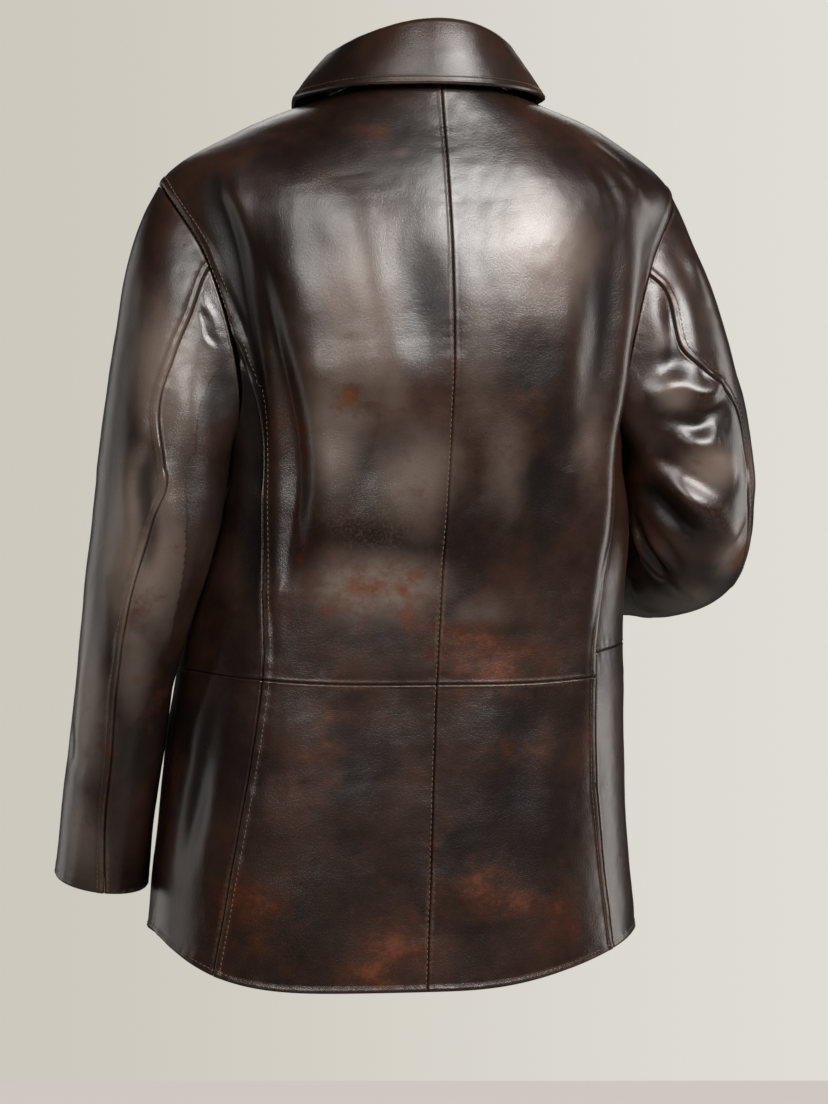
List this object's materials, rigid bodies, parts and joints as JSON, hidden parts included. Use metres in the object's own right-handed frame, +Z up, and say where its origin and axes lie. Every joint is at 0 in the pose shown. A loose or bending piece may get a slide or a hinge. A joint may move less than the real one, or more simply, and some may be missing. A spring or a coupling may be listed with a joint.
{
  "type": "worn leather coat",
  "caption": "Hip-length leather coat holding a worn shape, with nobody in it: turned-down collar, waist seam, two-piece sleeves, one arm bent forward, open neck, hem and cuffs.",
  "frame": {"origin": "middle of the base of the neck, where the wearer's neck and shoulders hold the coat up", "axes": "+Z up; the front faces -Y; the coat's left side is +X"},
  "size_m": [0.6027, 0.3783, 0.8048],
  "materials": {
    "leather": "satin, dark brown with rubbed rust patches",
    "horn": "dark polished horn"
  },
  "bodies": {
    "root": {"back_left": "leather", "back_right": "leather", "back_skirt_left": "leather", "back_skirt_right": "leather", "side_left": "leather", "side_right": "leather", "side_skirt_left": "leather", "side_skirt_right": "leather", "front_left": "leather", "front_right": "leather", "front_skirt_left": "leather", "front_skirt_right": "leather", "sleeve_top_left": "leather", "sleeve_top_right": "leather", "sleeve_under_left": "leather", "sleeve_under_right": "leather", "collar_top": "leather", "collar_under": "leather", "button_1": "horn", "button_2": "horn", "button_3": "horn", "button_4": "horn", "button_5": "horn"}
  },
  "joints": []
}
